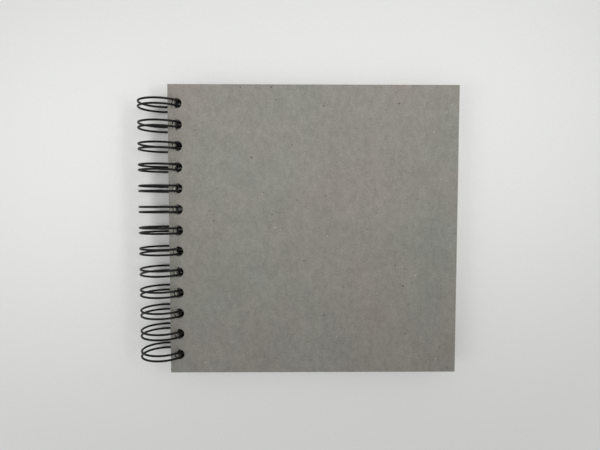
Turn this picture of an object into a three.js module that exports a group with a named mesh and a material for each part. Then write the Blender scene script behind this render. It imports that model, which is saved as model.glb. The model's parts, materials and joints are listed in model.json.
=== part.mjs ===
// A square sketchbook bound with twin-loop wire: two greyboard covers and a block of drawing paper,
// punched along one edge and held by one wire whose thirteen double loops pass through the holes.
// Lengths are millimetres. X runs from the spine to the fore edge, Y along the spine to the head, Z up.
// The origin is the middle of the footprint, at the height of the loops' lowest points.
import * as THREE from "three";
import { mergeVertices } from "three/addons/utils/BufferGeometryUtils.js";

// Covers
const coverWidth = 175;
const coverHeight = 175;
const coverThickness = 2;

// Leaves of drawing paper, a little smaller than the covers and flush with them at the bound edge
const leafCount = 24;
const leafThickness = 0.38;
const leafGap = 0.08;
const leafForeInset = 2;
const leafEndInset = 1.5;

// Punched holes
const holePitch = 12.7;
const holeEndMargin = 8; // least distance from an end of the cover to the centre of a hole
const holeDiameter = 6;
const holeMargin = 5.35;
const coverHoleSides = 16;
const leafHoleSides = 6;

// Wire
const wireDiameter = 1.3;
const loopRoom = 10.94; // what the loops' centre-line diameter has over the thickness of the stack
const stackLift = 3.9; // underside of the back cover above the lowest point of the loops
const wireFromHoleCentre = 1.23; // towards the fore edge, in the front cover
const strandToHoleEdge = 0.78; // from a strand's outer side to the hole's edge, along the spine
const holeClearance = 0.15; // least gap between the wire and the rim of a hole
const seamAngle = 284; // degrees round the loop from +X through +Z: under the back cover's margin
const seamGap = 1.8; // from the centre line of a loop's tip to that of the bars it closes on
const barBendRadius = 1.7;
const wireSides = 6;
const legSteps = 22;
const tipSteps = 5;
const bendSteps = 2;
const leastWireGap = 0.4;

// As many holes as the bound edge has room for
const holeCount = Math.floor((coverHeight - 2 * holeEndMargin) / holePitch) + 1;
const holeY = (index) => ((holeCount - 1) / 2 - index) * holePitch;

// Stack, from the back cover up
const blockThickness = leafCount * (leafThickness + leafGap) + leafGap;
const stackThickness = 2 * coverThickness + blockThickness;
const blockBottom = stackLift + coverThickness;
const frontCoverBottom = blockBottom + blockThickness;

// Loops: a circle round an axis along the spine
const loopRadius = (stackThickness + loopRoom) / 2;
const loopHeight = loopRadius + wireDiameter / 2;
const strandOffset = holeDiameter / 2 - wireDiameter / 2 - strandToHoleEdge;
const frontCoverRise = frontCoverBottom + coverThickness / 2 - loopHeight;
const loopX = holeMargin + wireFromHoleCentre - Math.sqrt(loopRadius ** 2 - frontCoverRise ** 2);
const footprintMiddle = (coverWidth + loopX - loopRadius - wireDiameter / 2) / 2; // from the bound edge

const greyboard = new THREE.MeshStandardMaterial({ color: 0x8b8780, roughness: 0.95, metalness: 0 });
const paper = new THREE.MeshStandardMaterial({ color: 0xf1eee6, roughness: 0.9, metalness: 0 });
const blackWire = new THREE.MeshStandardMaterial({ color: 0x19191b, roughness: 0.35, metalness: 0.2 });

function named(name, geometry, material) {
  const mesh = new THREE.Mesh(geometry, material);
  mesh.name = name;
  return mesh;
}

// Where the wire crosses a height, and how far a hole's centre may lie from it there
function wireAt(height) {
  const rise = height - loopHeight;
  const run = Math.sqrt(Math.max(loopRadius ** 2 - rise ** 2, 1));
  const wireReach = (wireDiameter / 2) * Math.hypot(1, rise / run);
  const room = Math.max(holeDiameter / 2 - wireReach - holeClearance, strandOffset);
  return { x: loopX + run, play: Math.sqrt(room ** 2 - strandOffset ** 2) };
}

// A plate lies in line with the front cover until the wire pulls its holes aside
function plateShift(bottom, thickness) {
  const ends = [wireAt(bottom), wireAt(bottom + thickness)];
  const least = Math.max(...ends.map((end) => end.x - end.play));
  const most = Math.min(...ends.map((end) => end.x + end.play));
  const centre = least > most ? (least + most) / 2 : Math.min(Math.max(holeMargin, least), most);
  return centre - holeMargin;
}

// A polygon of the same area as the punched round hole, with a corner on the line of the holes
function holePath(centreX, centreY, sides) {
  const turn = (2 * Math.PI) / sides;
  const cornerRadius = (holeDiameter / 2) * Math.sqrt(turn / Math.sin(turn));
  const corners = Array.from({ length: sides }, (_, index) => {
    const angle = Math.PI / 2 - index * turn;
    return new THREE.Vector2(
      centreX + cornerRadius * Math.cos(angle),
      centreY + cornerRadius * Math.sin(angle),
    );
  });
  return new THREE.Path(corners);
}

// A punched sheet whose bound edge lies at x = 0 before its shift
function punchedSheet(width, height, thickness, bottom, holeSides) {
  const outline = new THREE.Shape();
  outline.moveTo(0, -height / 2);
  outline.lineTo(width, -height / 2);
  outline.lineTo(width, height / 2);
  outline.lineTo(0, height / 2);
  outline.closePath();
  for (let index = 0; index < holeCount; index += 1) {
    outline.holes.push(holePath(holeMargin, holeY(index), holeSides));
  }
  const sheet = new THREE.ExtrudeGeometry(outline, { depth: thickness, bevelEnabled: false });
  sheet.translate(plateShift(bottom, thickness), 0, bottom);
  return sheet;
}

function coverSheet(bottom) {
  return punchedSheet(coverWidth, coverHeight, coverThickness, bottom, coverHoleSides);
}

function leafSheet(numberFromTop) {
  const below = leafCount - numberFromTop;
  const bottom = blockBottom + leafGap + below * (leafThickness + leafGap);
  const width = coverWidth - leafForeInset;
  const height = coverHeight - 2 * leafEndInset;
  return punchedSheet(width, height, leafThickness, bottom, leafHoleSides);
}

// The wire as a flat comb: along is the way round the loop, across is the way along the spine.
// Each loop is a hairpin finger, and bars at the foot of the comb join it to the next.
const fingerLength = 2 * Math.PI * loopRadius - seamGap;

function arcPoints(centreAlong, centreAcross, radius, from, to, steps) {
  return Array.from({ length: steps }, (_, index) => {
    const angle = from + ((to - from) * (index + 1)) / steps;
    return { along: centreAlong + radius * Math.sin(angle), across: centreAcross + radius * Math.cos(angle) };
  });
}

function legPoints(from, to, across) {
  return Array.from({ length: legSteps }, (_, index) => {
    return { along: from + ((to - from) * (index + 1)) / legSteps, across };
  });
}

// One finger from its foot at the head side, round its tip and back
function fingerPoints(centreAcross, headFoot, tailFoot) {
  const shoulder = fingerLength - strandOffset;
  return [
    ...legPoints(headFoot, shoulder, centreAcross + strandOffset),
    ...arcPoints(shoulder, centreAcross, strandOffset, 0, Math.PI, tipSteps),
    ...legPoints(shoulder, tailFoot, centreAcross - strandOffset),
  ];
}

// A bar from the tail leg of one finger to the head leg of the next, with a bend at each end
function barPoints(centreAcross) {
  const firstCentre = centreAcross - strandOffset - barBendRadius;
  const lastCentre = centreAcross - holePitch + strandOffset + barBendRadius;
  const quarter = Math.PI / 2;
  return [
    ...arcPoints(barBendRadius, firstCentre, barBendRadius, 0, -quarter, bendSteps),
    { along: 0, across: lastCentre },
    ...arcPoints(barBendRadius, lastCentre, barBendRadius, -quarter, -Math.PI, bendSteps),
  ];
}

function combPoints() {
  const points = [{ along: 0, across: holeY(0) + strandOffset }];
  for (let index = 0; index < holeCount; index += 1) {
    const headFoot = index === 0 ? 0 : barBendRadius;
    const tailFoot = index === holeCount - 1 ? 0 : barBendRadius;
    points.push(...fingerPoints(holeY(index), headFoot, tailFoot));
    if (index < holeCount - 1) points.push(...barPoints(holeY(index)));
  }
  return points;
}

// The comb rolled round the loops' axis
function rolled({ along, across }) {
  const footAngle = THREE.MathUtils.degToRad(seamAngle - 360) + seamGap / 2 / loopRadius;
  const angle = footAngle + along / loopRadius;
  const outward = new THREE.Vector3(Math.cos(angle), 0, Math.sin(angle));
  const centre = outward.clone().multiplyScalar(loopRadius);
  return { outward, centre: centre.add(new THREE.Vector3(loopX, across, loopHeight)) };
}

// One unbroken tube with flat ends along the rolled comb
function twinLoopWire() {
  const stations = combPoints().map(rolled);
  const last = stations.length - 1;
  const positions = [];
  const faces = [];
  stations.forEach(({ centre, outward }, index) => {
    const before = stations[Math.max(index - 1, 0)].centre;
    const after = stations[Math.min(index + 1, last)].centre;
    const arriving = centre.clone().sub(before).normalize();
    const leaving = after.clone().sub(centre).normalize();
    const tangent = arriving.clone().add(leaving).normalize();
    const side = new THREE.Vector3().crossVectors(tangent, outward).normalize();
    const up = new THREE.Vector3().crossVectors(side, tangent).normalize();
    for (let corner = 0; corner < wireSides; corner += 1) {
      const angle = (2 * Math.PI * (corner + 0.5)) / wireSides;
      const point = centre.clone();
      point.addScaledVector(side, (wireDiameter / 2) * Math.cos(angle));
      point.addScaledVector(up, (wireDiameter / 2) * Math.sin(angle));
      positions.push(point.x, point.y, point.z);
    }
  });
  for (let ring = 0; ring < last; ring += 1) {
    for (let corner = 0; corner < wireSides; corner += 1) {
      const a = ring * wireSides + corner;
      const b = ring * wireSides + ((corner + 1) % wireSides);
      faces.push(a, a + wireSides, b, b, a + wireSides, b + wireSides);
    }
  }
  for (let corner = 1; corner < wireSides - 1; corner += 1) {
    faces.push(0, corner, corner + 1);
    faces.push(last * wireSides, last * wireSides + corner + 1, last * wireSides + corner);
  }
  const tube = new THREE.BufferGeometry();
  tube.setAttribute("position", new THREE.Float32BufferAttribute(positions, 3));
  tube.setIndex(faces);
  return mergeVertices(tube);
}

// Least gap between stretches of the wire that are not next to each other along it
function wireGap() {
  const samples = [];
  const spacing = wireDiameter / 2;
  const stations = combPoints();
  let travelled = 0;
  stations.slice(1).forEach((end, index) => {
    const start = stations[index];
    const length = Math.hypot(end.along - start.along, end.across - start.across);
    const count = Math.max(1, Math.ceil(length / spacing));
    for (let step = 0; step < count; step += 1) {
      const share = step / count;
      const along = start.along + (end.along - start.along) * share;
      const across = start.across + (end.across - start.across) * share;
      samples.push({ travelled: travelled + length * share, ...rolled({ along, across }) });
    }
    travelled += length;
  });
  const apart = Math.PI * strandOffset; // as far as a tip's half turn
  let least = Infinity;
  samples.forEach((first, index) => {
    for (let other = index + 1; other < samples.length; other += 1) {
      const second = samples[other];
      if (second.travelled - first.travelled < apart) continue;
      least = Math.min(least, first.centre.distanceTo(second.centre));
    }
  });
  return least - wireDiameter;
}

const boundPieces = new THREE.Group();
boundPieces.add(named("back_cover", coverSheet(stackLift), greyboard));
boundPieces.add(named("twin_loop_wire", twinLoopWire(), blackWire));
for (let number = leafCount; number >= 1; number -= 1) {
  const name = `leaf_${String(number).padStart(2, "0")}`;
  boundPieces.add(named(name, leafSheet(number), paper));
}
boundPieces.add(named("front_cover", coverSheet(frontCoverBottom), greyboard));
boundPieces.position.x = -footprintMiddle;

const sketchbook = new THREE.Group();
sketchbook.add(boundPieces);

const gap = wireGap();
console.log(`least gap of the wire to itself ${gap.toFixed(2)} mm, over ${leastWireGap} mm: ${gap > leastWireGap}`);
console.log(
  `loops' axis at x ${(loopX - footprintMiddle).toFixed(3)} z ${loopHeight.toFixed(3)},`,
  `radius ${loopRadius.toFixed(3)} mm, bound edge at x ${(-footprintMiddle).toFixed(3)}`,
);

export default sketchbook;
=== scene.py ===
# A closed square sketchbook: greyboard covers, a block of drawing paper and a black twin-loop wire.
# It lies on a pale table under soft light. Lengths in the dictionaries are millimetres.
import json
import math

import bpy
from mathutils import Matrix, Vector


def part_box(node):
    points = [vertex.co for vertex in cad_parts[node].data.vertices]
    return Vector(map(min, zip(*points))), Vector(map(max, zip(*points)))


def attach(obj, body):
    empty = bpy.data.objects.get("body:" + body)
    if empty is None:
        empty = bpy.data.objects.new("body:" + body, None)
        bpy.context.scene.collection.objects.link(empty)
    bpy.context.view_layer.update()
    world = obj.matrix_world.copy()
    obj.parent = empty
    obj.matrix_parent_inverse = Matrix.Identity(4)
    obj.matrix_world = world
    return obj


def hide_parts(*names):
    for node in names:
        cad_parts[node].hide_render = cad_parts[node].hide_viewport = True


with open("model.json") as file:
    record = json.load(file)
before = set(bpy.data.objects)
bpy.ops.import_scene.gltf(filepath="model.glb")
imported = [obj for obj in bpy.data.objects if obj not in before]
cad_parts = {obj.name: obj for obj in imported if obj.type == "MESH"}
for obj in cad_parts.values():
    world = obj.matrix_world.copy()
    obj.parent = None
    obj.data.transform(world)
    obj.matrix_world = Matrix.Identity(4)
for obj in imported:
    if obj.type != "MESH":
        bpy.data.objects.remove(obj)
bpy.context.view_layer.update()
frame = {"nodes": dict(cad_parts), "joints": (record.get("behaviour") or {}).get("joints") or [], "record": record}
mm = 0.001
loopCentre = Vector(frame["joints"][0]["pos_m"])  # every sheet turns on the loops' centre line


# A written sRGB colour in linear light, by the standard curve
def linearColour(hexColour):
    channels = [int(hexColour[i:i + 2], 16) / 255 for i in (1, 3, 5)]
    straight = [c / 12.92 if c <= 0.04045 else ((c + 0.055) / 1.055) ** 2.4 for c in channels]
    return (*straight, 1.0)


# Adds a node and gives back one of its outputs. A value that is itself an output is linked.
def addNode(tree, kind, values=None, output=0, **settings):
    node = tree.nodes.new(kind)
    for name, setting in settings.items():
        setattr(node, name, setting)
    for socket, value in (values or {}).items():
        if isinstance(value, bpy.types.NodeSocket):
            tree.links.new(value, node.inputs[socket])
        else:
            node.inputs[socket].default_value = value
    return node.outputs[output] if len(node.outputs) else None


mixFactor, mixFirst, mixSecond, mixResult = 0, 6, 7, 2  # the sockets of a Mix node for colours


def startMaterial(name):
    material = bpy.data.materials.new(name)
    material.use_nodes = True
    material.node_tree.nodes.clear()
    return material, material.node_tree


def addObject(name, data):
    thing = bpy.data.objects.new(name, data)
    bpy.context.scene.collection.objects.link(thing)
    return thing


# Coordinates in which one unit is the pattern's real size, along and across its own direction
def patternPlace(tree, place, sizeMm, turnDeg=0.0, shiftMm=(0, 0, 0)):
    values = {"Vector": place, "Location": tuple(step * mm for step in shiftMm),
              "Rotation": (0, 0, math.radians(turnDeg)), "Scale": tuple(side * mm for side in sizeMm)}
    return addNode(tree, "ShaderNodeMapping", values, vector_type="TEXTURE")


usualWindow = (0.3, 0.7)  # nearly all of a noise lies between these


# A shade that drifts between two values over the pattern's real size
def driftingShade(tree, pattern, lowest, highest):
    place = addNode(tree, "ShaderNodeTexCoord", output="Object")
    place = patternPlace(tree, place, pattern["sizeMm"], pattern.get("turnDeg", 0.0),
                         pattern.get("shiftMm", (0, 0, 0)))
    values = {"Vector": place, "Scale": 1.0, "Detail": pattern["detail"]}
    drift = addNode(tree, "ShaderNodeTexNoise", values)
    low, high = pattern.get("window", usualWindow)
    values = {"Value": drift, "From Min": low, "From Max": high, "To Min": lowest, "To Max": highest}
    return addNode(tree, "ShaderNodeMapRange", values)


# A colour that wanders between two others as the pattern drifts
def cloudedColour(tree, pattern, firstColour, secondColour):
    values = {mixFactor: driftingShade(tree, pattern, 0.0, 1.0),
              mixFirst: linearColour(firstColour), mixSecond: linearColour(secondColour)}
    return addNode(tree, "ShaderNodeMix", values, output=mixResult, data_type="RGBA")


# How far a speck is solid before it fades, as a part of its radius, and how uneven the specks are:
# the higher the power, the more of them are faint and the fewer are strong
speckShape = dict(solidCore=0.3, unevenPower=2.5)


# Specks of unpulped fibre and old print: a few cells of a Voronoi pattern each hold one small spot
def speckMask(tree, specks):
    place = addNode(tree, "ShaderNodeTexCoord", output="Object")
    level = addNode(tree, "ShaderNodeSeparateXYZ", {"Vector": place}, output="Z")
    slide = addNode(tree, "ShaderNodeVectorMath", {0: specks["slideByLevel"], "Scale": level},
                    operation="SCALE")  # gives each face of a board its own specks
    moved = addNode(tree, "ShaderNodeVectorMath", {0: place, 1: slide}, operation="ADD")
    place = patternPlace(tree, moved, specks["cellMm"], specks["turnDeg"])
    cells = addNode(tree, "ShaderNodeTexVoronoi", {"Vector": place, "Scale": 1.0},
                    voronoi_dimensions="2D").node
    draws = addNode(tree, "ShaderNodeSeparateColor", {"Color": cells.outputs["Color"]}).node.outputs
    threshold = 1 - specks["share"]
    present = addNode(tree, "ShaderNodeMath", {0: draws["Red"], 1: threshold}, operation="GREATER_THAN")
    least, most = [radius / specks["cellMm"][0] for radius in specks["radiusMm"]]
    values = {"Value": draws["Red"], "From Min": threshold, "From Max": 1.0, "To Min": least,
              "To Max": most}
    radius = addNode(tree, "ShaderNodeMapRange", values)
    reach = addNode(tree, "ShaderNodeMath", {0: cells.outputs["Distance"], 1: radius},
                    operation="DIVIDE")
    values = {"Value": reach, "From Min": speckShape["solidCore"], "From Max": 1.0, "To Min": 1.0,
              "To Max": 0.0}
    spot = addNode(tree, "ShaderNodeMapRange", values, interpolation_type="SMOOTHSTEP")
    faintest, strongest = specks["strengths"]
    uneven = addNode(tree, "ShaderNodeMath", {0: draws["Green"], 1: speckShape["unevenPower"]},
                     operation="POWER")
    values = {"Value": uneven, "To Min": faintest, "To Max": strongest}
    strength = addNode(tree, "ShaderNodeMapRange", values)
    strength = addNode(tree, "ShaderNodeMath", {0: present, 1: strength}, operation="MULTIPLY")
    return addNode(tree, "ShaderNodeMath", {0: spot, 1: strength}, operation="MULTIPLY")


# Up to the first value of uprightness a surface is a cut edge, and from the second it is a face.
# Cut edges that lie in the strip along the bound edge are the walls of the punched holes.
sheetEdges = dict(edgeUpright=0.3, faceUpright=0.75, stripFromBoundEdge=6.3, stripHalfWidth=5.7,
                  stripHalfLength=82)


# 1 on the cut edges of a sheet, 0 on its two faces
def cutEdgeMask(tree):
    facing = addNode(tree, "ShaderNodeTexCoord", output="Normal")
    upright = addNode(tree, "ShaderNodeSeparateXYZ", {"Vector": facing}, output="Z")
    steep = addNode(tree, "ShaderNodeMath", {0: upright}, operation="ABSOLUTE")
    values = {"Value": steep, "From Min": sheetEdges["edgeUpright"],
              "From Max": sheetEdges["faceUpright"], "To Min": 1.0, "To Max": 0.0}
    return addNode(tree, "ShaderNodeMapRange", values, interpolation_type="SMOOTHSTEP")


# 1 on the walls of the punched holes, where the painted shade goes: the part of the cut edges that lies inside the
# punched strip
def holeShadeMask(tree, cutEdge):
    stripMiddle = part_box("front_cover")[0].x + sheetEdges["stripFromBoundEdge"] * mm
    place = addNode(tree, "ShaderNodeTexCoord", output="Object")
    for axis, middle, reach in (("X", stripMiddle, sheetEdges["stripHalfWidth"]),
                                ("Y", 0, sheetEdges["stripHalfLength"])):
        along = addNode(tree, "ShaderNodeSeparateXYZ", {"Vector": place}, output=axis)
        inside = addNode(tree, "ShaderNodeMath", {0: along, 1: middle, 2: reach * mm},
                         operation="COMPARE")
        cutEdge = addNode(tree, "ShaderNodeMath", {0: cutEdge, 1: inside}, operation="MULTIPLY")
    return cutEdge


# The face's colour, with the shaded colour of the trimmed edges and painted shade on the holes' walls
def withCutEdges(tree, look, faceColour, edgeShade):
    values = {mixFactor: 1.0, mixFirst: linearColour(look["edgeColour"]), mixSecond: edgeShade}
    edge = addNode(tree, "ShaderNodeMix", values, output=mixResult, data_type="RGBA",
                   blend_type="MULTIPLY")
    cutEdge = cutEdgeMask(tree)
    values = {mixFactor: cutEdge, mixFirst: faceColour, mixSecond: edge}
    trimmed = addNode(tree, "ShaderNodeMix", values, output=mixResult, data_type="RGBA")
    values = {mixFactor: holeShadeMask(tree, cutEdge), mixFirst: trimmed,
              mixSecond: linearColour(look["holeShadeColour"])}
    return addNode(tree, "ShaderNodeMix", values, output=mixResult, data_type="RGBA")


# Ends a material with its colour, its roughness and a fine relief
def finishSurface(tree, look, colour, rough, height):
    relief = addNode(tree, "ShaderNodeBump", {
        "Strength": look["bumpStrength"], "Distance": look["bumpMm"] * mm, "Height": height})
    shader = addNode(tree, "ShaderNodeBsdfPrincipled", {
        "Base Color": colour, "Roughness": rough, "Normal": relief, "IOR": look["ior"],
        "Specular IOR Level": look["specular"]})
    addNode(tree, "ShaderNodeOutputMaterial", {"Surface": shader})


greyboardLook = dict(
    # the colour of the holes' walls is painted shade, darkening the punched holes where shade falls
    warmColour="#89847d", coolColour="#83847d", edgeColour="#7e7a73", holeShadeColour="#55524d",
    cloud=dict(sizeMm=(38, 52, 40), shiftMm=(375, -377, 0), detail=2.0),
    # a soft unevenness, the mottle of the pulp, and a grain drawn a little coarse so that it shows
    shades=[
        (dict(sizeMm=(15, 22, 18), detail=1.0), 0.965, 1.035),
        (dict(sizeMm=(2.8, 4.2, 3.0), detail=2.0), 0.92, 1.08),
        (dict(sizeMm=(0.95, 1.15, 1.0), detail=1.0), 0.9, 1.1),
    ],
    paintedLightAlong=dict(foot=0.94, head=1.06),  # painted light: paler towards the head and darker towards the foot, for light that falls off along the sheet
    fibres=dict(sizeMm=(3.6, 0.45, 1), detail=1.0, window=(0.64, 0.72)), fibreShade=0.95,
    fibreTurnsDeg=(15, 78, 133),
    specks=[  # large and small dark ones, and pale ones of straw
        dict(colour="#45433f", cellMm=(8.6, 7.0, 1), share=0.1, radiusMm=(0.45, 1.05),
             strengths=(0.22, 0.9), turnDeg=20, slideByLevel=(31, 17, 0)),
        dict(colour="#55534e", cellMm=(5.2, 2.8, 1), share=0.14, radiusMm=(0.35, 0.7),
             strengths=(0.12, 0.5), turnDeg=64, slideByLevel=(-23, 29, 0)),
        dict(colour="#b5b0a2", cellMm=(9.8, 7.2, 1), share=0.08, radiusMm=(0.5, 0.9),
             strengths=(0.18, 0.75), turnDeg=-33, slideByLevel=(13, -37, 0)),
    ],
    plies=dict(sizeMm=(9, 9, 0.28), detail=2.0), plyShade=(0.82, 1.12),
    roughGrain=dict(sizeMm=(1.4, 1.4, 1.4), detail=2.0), roughness=(0.86, 0.96),
    bumpMm=0.035, bumpStrength=0.5, ior=1.47, specular=0.35,
)


# Greyboard, couched in wet layers from recycled pulp and calendered: a matt grey with faint warm and
# cool clouds, a fine mottle, short fibres, and specks of old print and straw. Its trimmed edges show
# the plies. Painted shade darkens the walls of its punched holes, and painted light makes the sheet
# paler towards the head and darker towards the foot.
def couchedGreyboard():
    look = greyboardLook
    material, tree = startMaterial("greyboard_couched_and_calendered")
    colour = cloudedColour(tree, look["cloud"], look["coolColour"], look["warmColour"])

    layers = [driftingShade(tree, *layer) for layer in look["shades"]]
    for turnDeg in look["fibreTurnsDeg"]:
        fibres = dict(look["fibres"], turnDeg=turnDeg)
        layers.append(driftingShade(tree, fibres, 1.0, look["fibreShade"]))
    shade = layers[0]
    for layer in layers[1:]:
        shade = addNode(tree, "ShaderNodeMath", {0: shade, 1: layer}, operation="MULTIPLY")
    # Painted light: the colour is made darker towards the foot and paler towards the head, standing in for light
    # that falls off along the sheet
    footEnd, headEnd = [corner.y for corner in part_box("front_cover")]
    place = addNode(tree, "ShaderNodeTexCoord", output="Object")
    along = addNode(tree, "ShaderNodeSeparateXYZ", {"Vector": place}, output="Y")
    values = {"Value": along, "From Min": footEnd, "From Max": headEnd,
              "To Min": look["paintedLightAlong"]["foot"], "To Max": look["paintedLightAlong"]["head"]}
    tone = addNode(tree, "ShaderNodeMath", {0: shade, 1: addNode(tree, "ShaderNodeMapRange", values)},
                   operation="MULTIPLY")
    values = {mixFactor: 1.0, mixFirst: colour, mixSecond: tone}
    colour = addNode(tree, "ShaderNodeMix", values, output=mixResult, data_type="RGBA",
                     blend_type="MULTIPLY")
    for specks in look["specks"]:
        values = {mixFactor: speckMask(tree, specks), mixFirst: colour,
                  mixSecond: linearColour(specks["colour"])}
        colour = addNode(tree, "ShaderNodeMix", values, output=mixResult, data_type="RGBA")

    colour = withCutEdges(tree, look, colour, driftingShade(tree, look["plies"], *look["plyShade"]))
    rough = driftingShade(tree, look["roughGrain"], *look["roughness"])
    finishSurface(tree, look, colour, rough, shade)
    return material


paperLook = dict(
    # the colour of the holes' walls is painted shade, darkening the punched holes where shade falls
    colour="#f1efe7", shadeColour="#eeebe3", edgeColour="#e9e6dd", holeShadeColour="#aaa79f",
    cloud=dict(sizeMm=(18, 24, 20), detail=2.0, window=(0.35, 0.65)),
    tooth=dict(sizeMm=(0.7, 0.7, 0.7), detail=3.0), toothShade=(0.97, 1.02),
    fibres=dict(sizeMm=(2.6, 0.35, 1), detail=1.0, turnDeg=38, window=(0.66, 0.74)), fibreShade=0.975,
    leafTone=dict(sizeMm=(55, 55, 0.46), detail=1.0),  # a leaf and its gap are 0.46 mm
    leafShade=(0.8, 1.06),
    roughness=(0.84, 0.93), bumpMm=0.02, bumpStrength=0.4, ior=1.5, specular=0.3,
)


# Drawing paper, formed on a wire mesh and left uncoated: off-white, with a fine tooth that takes
# pencil. On the trimmed edges of the block each leaf has a tone of its own, and painted shade darkens
# the walls of the holes.
def toothedDrawingPaper():
    look = paperLook
    material, tree = startMaterial("drawing_paper_uncoated_with_tooth")
    colour = cloudedColour(tree, look["cloud"], look["colour"], look["shadeColour"])
    tooth = driftingShade(tree, look["tooth"], *look["toothShade"])
    fibres = driftingShade(tree, look["fibres"], 1.0, look["fibreShade"])
    shade = addNode(tree, "ShaderNodeMath", {0: tooth, 1: fibres}, operation="MULTIPLY")
    values = {mixFactor: 1.0, mixFirst: colour, mixSecond: shade}
    colour = addNode(tree, "ShaderNodeMix", values, output=mixResult, data_type="RGBA",
                     blend_type="MULTIPLY")
    colour = withCutEdges(tree, look, colour, driftingShade(tree, look["leafTone"], *look["leafShade"]))
    rough = driftingShade(tree, look["tooth"], *look["roughness"])
    finishSurface(tree, look, colour, rough, shade)
    return material


wireLook = dict(
    colour="#070708", scuffColour="#101012",
    scuff=dict(sizeMm=(3.5, 3.5, 3.5), detail=3.0, window=(0.45, 0.7)),
    skin=dict(sizeMm=(0.8, 0.8, 0.8), detail=2.0), roughness=(0.4, 0.55),
    bumpMm=0.012, bumpStrength=0.35, ior=1.53, specular=0.2,
)


# Steel wire coated with black nylon by dipping: a dark satin skin with a soft sheen and faint scuffs
def nylonCoatedSteel():
    look = wireLook
    material, tree = startMaterial("steel_wire_nylon_coated")
    colour = cloudedColour(tree, look["scuff"], look["colour"], look["scuffColour"])
    rough = driftingShade(tree, look["skin"], *look["roughness"])
    finishSurface(tree, look, colour, rough, rough)
    return material


greyboard = couchedGreyboard()
drawingPaper = toothedDrawingPaper()
blackWire = nylonCoatedSteel()
print("materials made")

punching = dict(count=13, pitch=12.7, diameter=6.0, fromBoundEdge=5.35, points=48)
coverSheet = dict(edgeRound=0.14, roundSteps=2)
leafSheet = dict(edgeRound=0.03, roundSteps=1)


def closedLine(curve, points):
    line = curve.splines.new("POLY")
    line.points.add(len(points) - 1)
    for point, (x, y) in zip(line.points, points):
        point.co = (x, y, 0, 1)
    line.use_cyclic_u = True


# A punched sheet in the place of a CAD node: a flat outline with its holes, given thickness
def punchedSheet(node, sheetFacts, material):
    low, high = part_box(node)
    curve = bpy.data.curves.new(node + "_outline", "CURVE")
    curve.dimensions = "2D"
    curve.fill_mode = "BOTH"
    closedLine(curve, [(low.x, low.y), (high.x, low.y), (high.x, high.y), (low.x, high.y)])
    radius = punching["diameter"] * mm / 2
    holeX = low.x + punching["fromBoundEdge"] * mm
    turns = [2 * math.pi * step / punching["points"] for step in range(punching["points"])]
    for hole in range(punching["count"]):
        holeY = ((punching["count"] - 1) / 2 - hole) * punching["pitch"] * mm
        closedLine(curve, [(holeX + radius * math.cos(turn), holeY - radius * math.sin(turn))
                           for turn in turns])
    edgeRound = sheetFacts["edgeRound"] * mm
    curve.extrude = (high.z - low.z) / 2 - edgeRound
    curve.bevel_depth = edgeRound
    curve.bevel_resolution = sheetFacts["roundSteps"]
    curve.offset = -edgeRound
    outline = addObject(node + "_outline", curve)
    bpy.context.view_layer.update()
    mesh = bpy.data.meshes.new_from_object(outline.evaluated_get(bpy.context.evaluated_depsgraph_get()))
    bpy.data.objects.remove(outline)
    for vertex in mesh.vertices:
        vertex.co.z += (low.z + high.z) / 2
    mesh.materials.clear()
    mesh.materials.append(material)
    return addObject(node + "_sheet", mesh)


def placePiece(piece, node, body):
    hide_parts(node)
    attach(piece, body)


bodyNodes = frame["record"]["behaviour"]["bodies"]
wireBody = next(body for body, nodes in bodyNodes.items() if "twin_loop_wire" in nodes)
placePiece(punchedSheet("back_cover", coverSheet, greyboard), "back_cover", wireBody)
placePiece(punchedSheet("front_cover", coverSheet, greyboard), "front_cover", "front_cover")
print("covers made")

leafNames = sorted(name for name in frame["nodes"] if name.startswith("leaf_"))
for leafName in leafNames:
    placePiece(punchedSheet(leafName, leafSheet, drawingPaper), leafName, leafName)
print(len(leafNames), "leaves made")

wire = dict(diameter=1.3, strandOffset=1.57, barBend=1.7, seamDeg=284, seamGap=1.8,
            legSteps=64, tipSteps=14, bendSteps=7, sides=14)


# The wire's route as the flat comb that it is bent from: pairs of (round the loop, along the spine)
def combRoute(loopRadius):
    offset, bend = wire["strandOffset"], wire["barBend"]
    shoulder = 2 * math.pi * loopRadius - wire["seamGap"] - offset  # where a finger's round tip starts
    quarter = math.pi / 2

    def arc(along, across, radius, fromAngle, toAngle, steps):
        angles = [fromAngle + (toAngle - fromAngle) * (step + 1) / steps for step in range(steps)]
        return [(along + radius * math.sin(a), across + radius * math.cos(a)) for a in angles]

    def leg(start, end, across):
        steps = wire["legSteps"]
        return [(start + (end - start) * (step + 1) / steps, across) for step in range(steps)]

    count, pitch = punching["count"], punching["pitch"]
    middles = [((count - 1) / 2 - index) * pitch for index in range(count)]
    route = [(0.0, middles[0] + offset)]
    for index, middle in enumerate(middles):
        headFoot = 0 if index == 0 else bend
        tailFoot = 0 if index == count - 1 else bend
        route += leg(headFoot, shoulder, middle + offset)
        route += arc(shoulder, middle, offset, 0, math.pi, wire["tipSteps"])
        route += leg(shoulder, tailFoot, middle - offset)
        if index < count - 1:  # a bar with a bend at each end leads to the next finger
            first, last = middle - offset - bend, middle - pitch + offset + bend
            route += arc(bend, first, bend, 0, -quarter, wire["bendSteps"])
            route.append((0.0, last))
            route += arc(bend, last, bend, -quarter, -math.pi, wire["bendSteps"])
    return route


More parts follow.
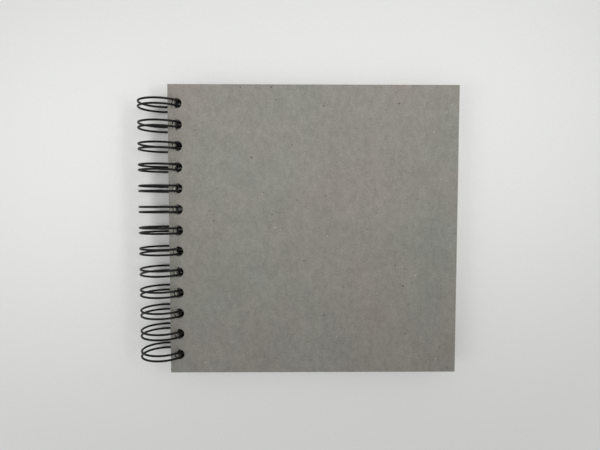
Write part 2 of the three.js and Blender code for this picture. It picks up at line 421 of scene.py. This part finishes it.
# The comb rolled round the loops' centre line, as one smooth round wire
def twinLoopWire():
    low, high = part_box("twin_loop_wire")
    wireRadius = wire["diameter"] / 2
    loopRadius = (high.x - low.x) / mm / 2 - wireRadius
    footAngle = math.radians(wire["seamDeg"] - 360) + wire["seamGap"] / 2 / loopRadius
    stations = []
    for along, across in combRoute(loopRadius):
        angle = footAngle + along / loopRadius
        outward = Vector((math.cos(angle), 0, math.sin(angle)))
        centre = loopCentre + outward * loopRadius * mm + Vector((0, across * mm, 0))
        stations.append((centre, outward))
    vertices, faces = [], []
    sides, last = wire["sides"], len(stations) - 1
    for index, (centre, outward) in enumerate(stations):
        before, after = stations[max(index - 1, 0)][0], stations[min(index + 1, last)][0]
        tangent = ((centre - before).normalized() + (after - centre).normalized()).normalized()
        side = tangent.cross(outward).normalized()
        up = side.cross(tangent).normalized()
        for corner in range(sides):
            angle = 2 * math.pi * corner / sides
            vertices.append(centre + (side * math.cos(angle) + up * math.sin(angle)) * wireRadius * mm)
    for ring in range(last):
        for corner in range(sides):
            a, b = ring * sides + corner, ring * sides + (corner + 1) % sides
            faces.append((a, a + sides, b + sides, b))
    faces.append(tuple(range(sides)))
    faces.append(tuple(reversed(range(last * sides, (last + 1) * sides))))
    mesh = bpy.data.meshes.new("twin_loop_wire_smooth")
    mesh.from_pydata(vertices, [], faces)
    mesh.shade_smooth()
    mesh.materials.append(blackWire)
    return addObject("twin_loop_wire_smooth", mesh)


placePiece(twinLoopWire(), "twin_loop_wire", wireBody)
print("wire made")

table = dict(
    colour="#e4e5e3", grain=dict(sizeMm=(1.6, 1.6, 1.6), detail=2.0), grainShade=(0.985, 1.01),
    roughness=0.85, specular=0.2, side=8000, backdropColour="#dcdddb", fadesFrom=195, fadesTo=440,
)


# 1 where the camera, or a reflection, looks straight at a surface
def seenDirectly(tree):
    rays = [addNode(tree, "ShaderNodeLightPath", output=ray)
            for ray in ("Is Camera Ray", "Is Glossy Ray", "Is Transmission Ray")]
    seen = addNode(tree, "ShaderNodeMath", {0: rays[0], 1: rays[1]}, operation="MAXIMUM")
    return addNode(tree, "ShaderNodeMath", {0: seen, 1: rays[2]}, operation="MAXIMUM")


# Matt paint, rolled on: a pale even tone with a faint grain. Far from the book it passes into the
# backdrop.
def mattPaint():
    material, tree = startMaterial("matt_painted_table")
    grain = driftingShade(tree, table["grain"], *table["grainShade"])
    values = {mixFactor: 1.0, mixFirst: linearColour(table["colour"]), mixSecond: grain}
    colour = addNode(tree, "ShaderNodeMix", values, output=mixResult, data_type="RGBA",
                     blend_type="MULTIPLY")
    shader = addNode(tree, "ShaderNodeBsdfPrincipled", {
        "Base Color": colour, "Roughness": table["roughness"], "Specular IOR Level": table["specular"]})
    place = addNode(tree, "ShaderNodeTexCoord", output="Object")
    distance = addNode(tree, "ShaderNodeVectorMath", {0: place}, output="Value", operation="LENGTH")
    values = {"Value": distance, "From Min": table["fadesFrom"] * mm, "From Max": table["fadesTo"] * mm}
    far = addNode(tree, "ShaderNodeMapRange", values, interpolation_type="SMOOTHSTEP")
    faded = addNode(tree, "ShaderNodeMath", {0: far, 1: seenDirectly(tree)}, operation="MULTIPLY")
    backdrop = addNode(tree, "ShaderNodeEmission", {"Color": linearColour(table["backdropColour"])})
    surface = addNode(tree, "ShaderNodeMixShader", {0: faded, 1: shader, 2: backdrop})
    addNode(tree, "ShaderNodeOutputMaterial", {"Surface": surface})
    return material


# The closed book stands on its loops and on its fore edge. The book is level in this scene, so it is
# the table that slopes: up a little towards the fore edge.
def paleTable():
    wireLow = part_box("twin_loop_wire")[0]
    coverLow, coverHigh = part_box("back_cover")
    run, drop = coverHigh.x - loopCentre.x, loopCentre.z - coverLow.z
    slope = math.asin((loopCentre.z - wireLow.z) / math.hypot(run, drop)) - math.atan2(drop, run)
    half = table["side"] * mm / 2
    corners = [(-half, -half, 0), (half, -half, 0), (half, half, 0), (-half, half, 0)]
    mesh = bpy.data.meshes.new("pale_table")
    mesh.from_pydata(corners, [], [(0, 1, 2, 3)])
    mesh.materials.append(mattPaint())
    floor = addObject("pale_table", mesh)
    floor.rotation_euler = (0, -slope, 0)
    floor.location = (0, 0, coverLow.z - math.tan(slope) * coverHigh.x)
    print("table slopes", round(math.degrees(slope), 2), "degrees")


paleTable()

# The camera looks down on the front cover from a little over a quarter of a metre
photoView = dict(fromBoundEdge=76.695, towardsHead=16.36, aboveCover=266.68,
                 tiltsDeg=(-2.788, -0.542, 0.053), focalPixels=440, widthPixels=600, sensor=36,
                 clipStart=10)


def photographCamera():
    coverLow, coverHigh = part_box("front_cover")
    data = bpy.data.cameras.new("photograph_camera")
    data.sensor_fit = "HORIZONTAL"
    data.sensor_width = photoView["sensor"]
    data.lens = photoView["focalPixels"] * photoView["sensor"] / photoView["widthPixels"]
    data.clip_start = photoView["clipStart"] * mm
    camera = addObject("photograph_camera", data)
    camera.location = (coverLow.x + photoView["fromBoundEdge"] * mm, photoView["towardsHead"] * mm,
                       coverHigh.z + photoView["aboveCover"] * mm)
    camera.rotation_euler = [math.radians(tilt) for tilt in photoView["tiltsDeg"]]
    bpy.context.scene.camera = camera


photographCamera()

light = dict(
    world=0.698,
    fromRight=dict(place=(654, 139, 820), aim=(-38, 69, 15), panes=3, paneSize=(220, 420),
                   spreadDeg=16.3, power=0.126),
    fromLeft=dict(place=(-640, -160, 640), aim=(10, 70, 15), panes=1, paneSize=(400, 400),
                  spreadDeg=44, power=0.082),
)


# A soft window whose panes stand in a row along the binding, each turned in to the book. A long row
# blurs the shadows of the loops into one soft band, and its narrow panes leave the book's own shadow
# a firmer edge.
def softWindow(name, window):
    aim = Vector(window["aim"]) * mm
    for pane in range(window["panes"]):
        along = (pane - (window["panes"] - 1) / 2) * window["paneSize"][0]
        place = (Vector(window["place"]) + Vector((0, along, 0))) * mm
        paneName = f"{name}_pane_{pane + 1}"
        data = bpy.data.lights.new(paneName, "AREA")
        data.shape = "RECTANGLE"
        data.size, data.size_y = [side * mm for side in window["paneSize"]]
        data.spread = math.radians(window["spreadDeg"])
        data.energy = window["power"] / window["panes"]
        lamp = addObject(paneName, data)
        lamp.location = place
        lamp.rotation_euler = (aim - place).to_track_quat("-Z", "Y").to_euler()


def studioLight():
    world = bpy.data.worlds.new("soft_room")
    world.use_nodes = True
    tree = world.node_tree
    tree.nodes.clear()
    room = addNode(tree, "ShaderNodeBackground", {"Strength": light["world"], "Color": (1, 1, 1, 1)})
    backdrop = addNode(tree, "ShaderNodeBackground", {"Color": linearColour(table["backdropColour"])})
    surroundings = addNode(tree, "ShaderNodeMixShader", {0: seenDirectly(tree), 1: room, 2: backdrop})
    addNode(tree, "ShaderNodeOutputWorld", {"Surface": surroundings})
    bpy.context.scene.world = world
    softWindow("long_soft_window_from_the_right", light["fromRight"])
    softWindow("weak_soft_fill_from_the_left", light["fromLeft"])
    bpy.context.scene.view_settings.view_transform = "Standard"


studioLight()
print("camera and light set")
